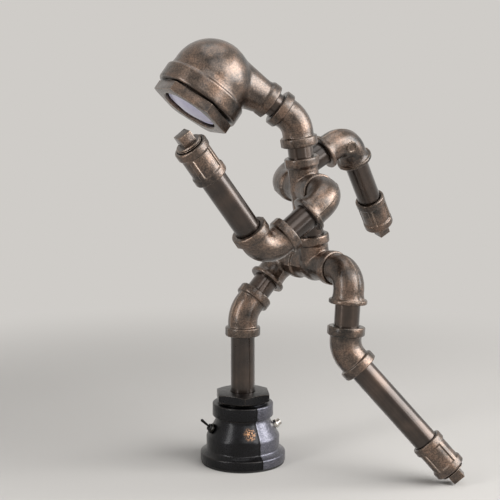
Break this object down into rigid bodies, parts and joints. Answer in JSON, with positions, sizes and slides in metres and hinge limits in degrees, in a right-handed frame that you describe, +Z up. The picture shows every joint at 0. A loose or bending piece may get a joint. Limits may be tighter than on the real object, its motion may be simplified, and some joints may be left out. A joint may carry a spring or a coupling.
{
  "type": "robot shaped desk lamp",
  "caption": "Desk lamp shaped as a walking robot, built of threaded pipe and iron fittings on a round base with a toggle switch, with turning arms, neck and lamp head",
  "frame": {"origin": "centre of the rubber pad's underside, on the table under the standing leg", "axes": "+X is the walking direction, +Y is the robot's left, +Z is up"},
  "size_m": [0.2881, 0.2026, 0.3716],
  "materials": {
    "cast_bronze": "malleable iron casting with a rubbed antique bronze finish, fine cast grain, warm bare edges",
    "pipe_bronze": "drawn steel pipe with a smooth satin antique bronze finish",
    "base_iron": "dark oiled cast iron with slight warm wear on its edges",
    "bright_steel": "nickel plated steel, polished",
    "black_steel": "black oxide steel with a light oil sheen",
    "pad_rubber": "matt black rubber",
    "moulded_white": "moulded off-white plastic",
    "moulded_red": "moulded switch housing, dull red",
    "lead_sheath": "soft pale plastic sheath",
    "lamp_shell": "moulded white lamp shell",
    "frosted_lens": "frosted diffuser, pale lavender white, satin",
    "cup_steel": "pressed zinc plated steel"
  },
  "bodies": {
    "stand": {"base_pad": "pad_rubber", "base_reducer": "base_iron", "base_bushing": "base_iron", "terminal_block": "moulded_white", "cord_inlet": "bright_steel", "inlet_nut": "bright_steel", "switch_body": "moulded_red", "switch_nut": "black_steel", "switch_lead": "lead_sheath", "stand_lead": "lead_sheath", "right_shin": "pipe_bronze", "right_knee": "cast_bronze", "right_thigh_pipe": "pipe_bronze", "right_hip": "cast_bronze", "pelvis_tee": "cast_bronze", "left_hip": "cast_bronze", "left_thigh_pipe": "pipe_bronze", "left_knee": "cast_bronze", "left_shin": "pipe_bronze", "left_foot": "cast_bronze", "left_toe_plug": "cast_bronze", "spine_pipe": "pipe_bronze", "chest_cross": "cast_bronze", "neck_pipe": "pipe_bronze"},
    "lever": {"switch_lever": "black_steel"},
    "left_arm": {"left_shoulder": "cast_bronze", "left_upper_arm": "pipe_bronze"},
    "left_lower_arm": {"left_elbow": "cast_bronze", "left_forearm_pipe": "pipe_bronze", "left_hand": "cast_bronze", "left_hand_plug": "cast_bronze"},
    "right_arm": {"right_shoulder": "cast_bronze", "right_upper_arm": "pipe_bronze"},
    "right_lower_arm": {"right_elbow": "cast_bronze", "right_forearm_pipe": "pipe_bronze", "right_hand": "cast_bronze", "right_hand_plug": "cast_bronze"},
    "neck": {"neck_elbow": "cast_bronze", "neck_lead": "lead_sheath", "head_pipe": "pipe_bronze"},
    "head": {"head_elbow": "cast_bronze", "head_ring": "cast_bronze", "holder_cup": "cup_steel", "holder_screws": "cup_steel", "lamp_holder": "moulded_white", "lamp_body": "lamp_shell", "lamp_lens": "frosted_lens", "head_lead": "lead_sheath"}
  },
  "joints": [
    {"name": "switch_toggle", "type": "hinge", "parent": "stand", "child": "lever", "pos_m": [0.02964, -0.00794, 0.03327], "axis": [0.2588, 0.9659, 0], "range_deg": [0, 24]},
    {"name": "neck_swivel", "type": "hinge", "parent": "stand", "child": "neck", "pos_m": [-0.02276, 0.0466, 0.30337], "axis": [0.1719, 0, 0.9851], "range_deg": [-60, 20]},
    {"name": "head_swivel", "type": "hinge", "parent": "neck", "child": "head", "pos_m": [0.03576, 0.02065, 0.35], "axis": [0.7389, -0.3276, 0.5888], "range_deg": [-45, 45]},
    {"name": "left_shoulder_swing", "type": "hinge", "parent": "stand", "child": "left_arm", "pos_m": [-0.02404, 0.09237, 0.24522], "axis": [0.1846, 0.9823, -0.0322], "range_deg": [-15, 35]},
    {"name": "left_elbow_swivel", "type": "hinge", "parent": "left_arm", "child": "left_lower_arm", "pos_m": [0.03305, 0.08015, 0.19976], "axis": [0.7716, -0.1651, -0.6144], "range_deg": [-30, 30]},
    {"name": "right_shoulder_swing", "type": "hinge", "parent": "stand", "child": "right_arm", "pos_m": [-0.04125, 0.00082, 0.24822], "axis": [0.1846, 0.9823, -0.0322], "range_deg": [-35, 15]},
    {"name": "right_elbow_swivel", "type": "hinge", "parent": "right_arm", "child": "right_lower_arm", "pos_m": [-0.10327, 0.01374, 0.28646], "axis": [-0.8382, 0.1745, 0.5167], "range_deg": [-30, 30]}
  ]
}
